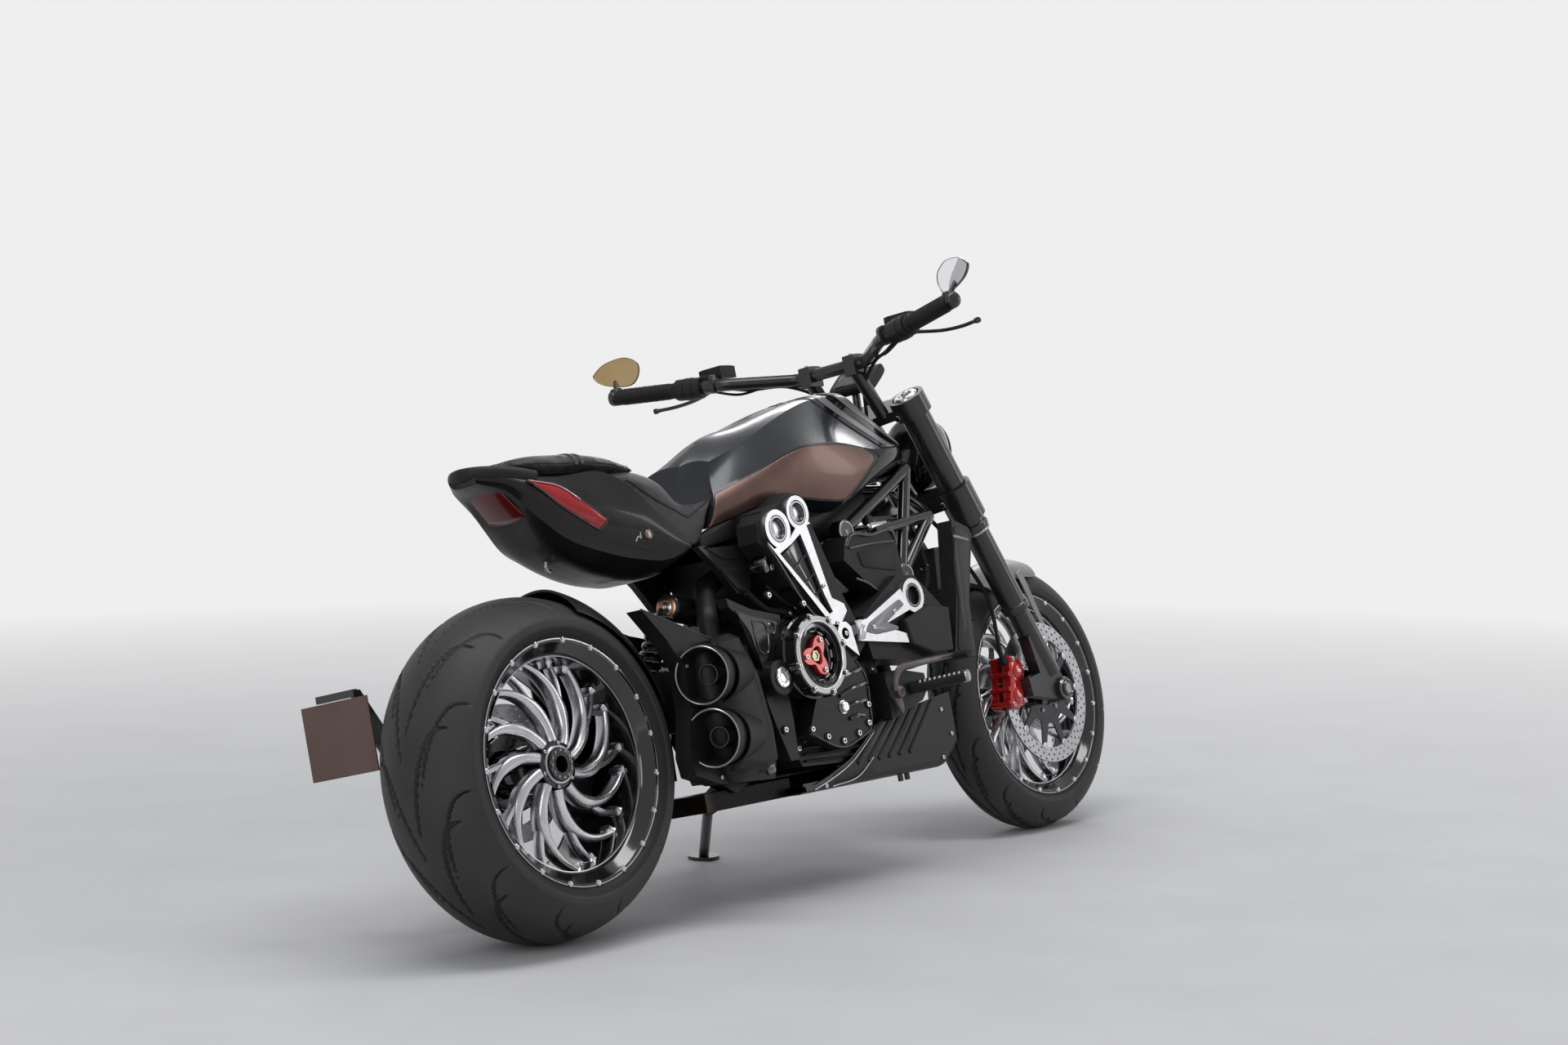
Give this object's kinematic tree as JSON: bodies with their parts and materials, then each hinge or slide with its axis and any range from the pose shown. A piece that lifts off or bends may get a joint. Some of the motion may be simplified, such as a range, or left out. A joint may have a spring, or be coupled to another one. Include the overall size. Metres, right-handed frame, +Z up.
{
  "type": "power cruiser motorcycle",
  "caption": "Low long-wheelbase L-twin power cruiser with a very wide rear tyre, single-sided arm, belt drive, trellis frame and stacked short mufflers, leaning on its side stand.",
  "frame": {"origin": "middle of the parked machine's bounding box, on the floor", "axes": "+X towards the front wheel, +Y to the rider's left, +Z up from the floor; it leans to +Y"},
  "size_m": [2.239, 1.036, 1.2969],
  "materials": {
    "frame_black": "satin black enamel",
    "engine_black": "satin black cast cases",
    "bright_cover": "machined and brushed",
    "belt_housing_black": "matte moulded",
    "tank_black": "gloss black and copper",
    "body_black": "matte charcoal",
    "seat_black": "stitched black leather",
    "lamp_red": "smoked red lens",
    "lens_clear": "clear lens",
    "cast_grey": "dark grey cast",
    "silver_metal": "satin silver",
    "exhaust_black": "matte heat-proof black",
    "collector_steel": "heat-browned steel",
    "disc_steel": "ground steel",
    "caliper_red": "red anodised",
    "rubber_black": "matte",
    "tyre_black": "matte sidewall",
    "rim_black": "gloss black with polished blades",
    "switch_plastic": "fine grained",
    "mirror_glass": "polished",
    "plate_white": "blank satin white",
    "screen_black": "gloss",
    "steel_tube": "plain steel"
  },
  "bodies": {
    "chassis": {"trellis_frame": "frame_black", "engine_block": "engine_black", "clutch_cover": "engine_black", "clutch_plate": "caliper_red", "belt_housings": "belt_housing_black", "belt_covers": "bright_cover", "alternator_cover": "engine_black", "fuel_tank": "tank_black", "rider_seat": "seat_black", "passenger_seat": "seat_black", "tail_cowl": "body_black", "tail_lamps": "lamp_red", "side_covers": "body_black", "pivot_plates": "cast_grey", "swingarm": "cast_grey", "shock_absorber": "cast_grey", "rear_hugger": "body_black", "plate_holder": "frame_black", "licence_plate": "plate_white", "muffler": "exhaust_black", "header_pipes": "exhaust_black", "collector_box": "collector_steel", "radiator": "belt_housing_black", "radiator_shrouds": "body_black", "belly_pan": "body_black", "footpegs": "silver_metal", "foot_pedals": "frame_black", "intake_covers": "body_black", "rear_caliper": "caliper_red", "drive_belt": "rubber_black"},
    "steering": {"triple_clamps": "frame_black", "fork_outer_tubes": "frame_black", "fork_lowers": "cast_grey", "front_axle": "steel_tube", "front_fender": "body_black", "front_calipers": "caliper_red", "handlebar": "frame_black", "hand_grips": "rubber_black", "control_levers": "frame_black", "switchgear": "switch_plastic", "mirrors": "mirror_glass", "headlight": "lens_clear", "instrument": "screen_black"},
    "front_wheel": {"front_tyre": "tyre_black", "front_rim": "rim_black", "front_discs": "disc_steel"},
    "rear_wheel": {"rear_tyre": "tyre_black", "rear_rim": "rim_black", "rear_disc": "disc_steel", "rear_pulley": "silver_metal", "rear_axle": "steel_tube"},
    "side_stand": {"side_stand": "frame_black"}
  },
  "joints": [
    {"name": "steering_head", "type": "hinge", "parent": "chassis", "child": "steering", "pos_m": [0.48607, -0.07875, 0.82754], "axis": [-0.4787, 0.2005, 0.8548], "range_deg": [-32, 32]},
    {"name": "front_wheel_spin", "type": "hinge", "parent": "steering", "child": "front_wheel", "pos_m": [0.8195, -0.20395, 0.29376], "axis": [0, 0.9736, -0.2284], "continuous": true},
    {"name": "rear_wheel_spin", "type": "hinge", "parent": "chassis", "child": "rear_wheel", "pos_m": [-0.7955, -0.19792, 0.31946], "axis": [0, 0.9736, -0.2284], "continuous": true},
    {"name": "side_stand_pivot", "type": "hinge", "parent": "chassis", "child": "side_stand", "pos_m": [-0.0935, -0.04311, 0.14743], "axis": [0.1059, 0.7103, 0.6959], "range_deg": [0, 118]}
  ]
}
